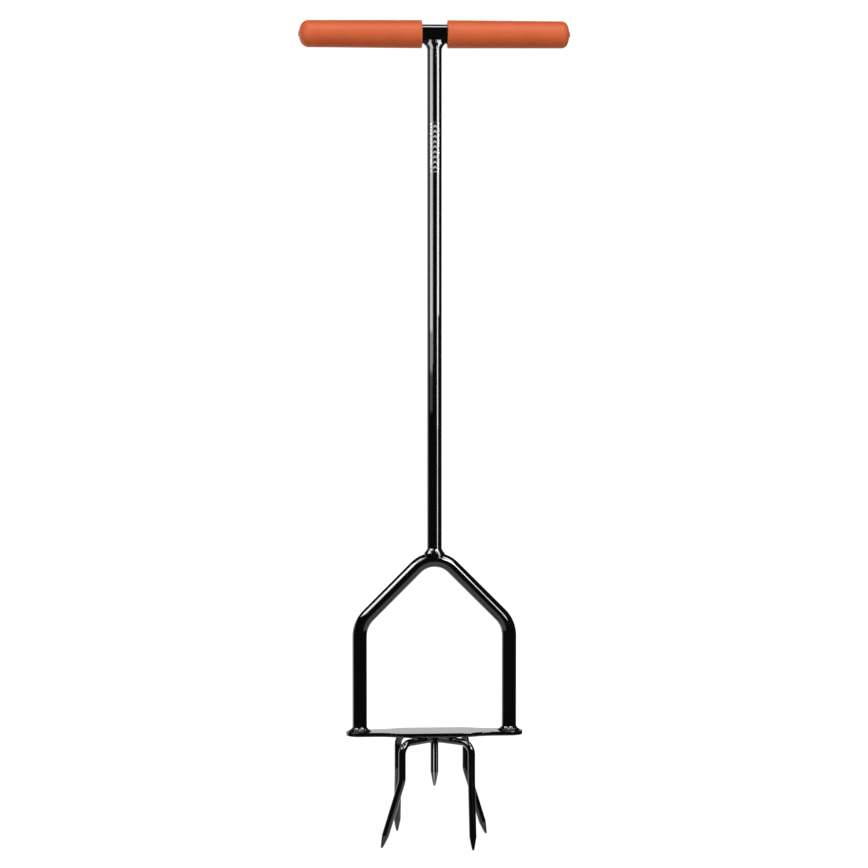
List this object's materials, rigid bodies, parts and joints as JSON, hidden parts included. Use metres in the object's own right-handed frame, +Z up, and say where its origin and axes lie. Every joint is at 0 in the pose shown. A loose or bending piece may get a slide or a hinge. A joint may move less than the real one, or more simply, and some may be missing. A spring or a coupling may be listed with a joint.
{
  "type": "lawn aerator fork",
  "caption": "T-handled twist aerator with a foot step: bent pointed tines under a step plate, a bent-tube yoke, a long shaft and soft grips.",
  "frame": {"origin": "on the ground under the middle of the tool, level with the tine points", "axes": "+Z up along the shaft, X along the crossbar and the step plate, -Y the front, where the label is"},
  "size_m": [0.309, 0.1282, 0.94],
  "materials": {
    "black_paint": "glossy black paint over steel",
    "orange_grip": "matte moulded orange vinyl",
    "label_print": "thin dark label with a pale frame"
  },
  "bodies": {
    "root": {"crossbar_tube": "black_paint", "left_grip": "orange_grip", "right_grip": "orange_grip", "shaft_tube": "black_paint", "yoke_tube": "black_paint", "step_plate": "black_paint", "front_left_tine": "black_paint", "front_right_tine": "black_paint", "rear_right_tine": "black_paint", "rear_left_tine": "black_paint", "centre_spike": "black_paint", "crossbar_weld": "black_paint", "crown_weld": "black_paint", "left_leg_weld": "black_paint", "right_leg_weld": "black_paint", "front_left_tine_weld_a": "black_paint", "front_left_tine_weld_b": "black_paint", "front_right_tine_weld_a": "black_paint", "front_right_tine_weld_b": "black_paint", "rear_right_tine_weld_a": "black_paint", "rear_right_tine_weld_b": "black_paint", "rear_left_tine_weld_a": "black_paint", "rear_left_tine_weld_b": "black_paint", "spike_weld": "black_paint", "shaft_label": "label_print"}
  },
  "joints": []
}
